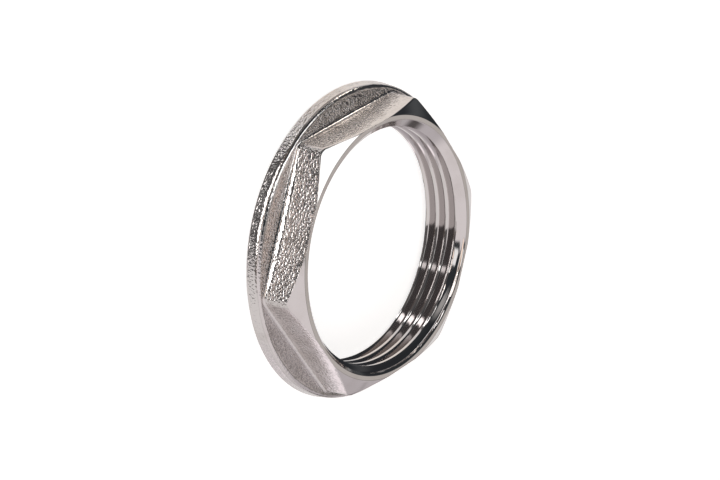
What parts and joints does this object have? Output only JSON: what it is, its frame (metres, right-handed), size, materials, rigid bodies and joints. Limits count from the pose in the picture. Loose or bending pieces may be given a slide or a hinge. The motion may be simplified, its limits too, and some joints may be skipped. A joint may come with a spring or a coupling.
{
  "type": "lock nut",
  "caption": "Flanged hexagon lock nut of nickel-plated forged brass with an internal parallel pipe thread, a chamfered front and a flat flange seat that clamps against a wall or fitting.",
  "frame": {"origin": "on the thread axis, in the plane of the flange's seat face", "axes": "+Z along the thread axis, from the seat towards the chamfered front; +X is the outward normal of one flat"},
  "size_m": [0.06, 0.06, 0.0098],
  "materials": {
    "nickel_plate": "nickel plate on brass, grainy as forged on the rim, shelf and flats, bright as turned on the front, chamfer, seat and thread"
  },
  "bodies": {
    "root": {"lock_nut": "nickel_plate"}
  },
  "joints": []
}
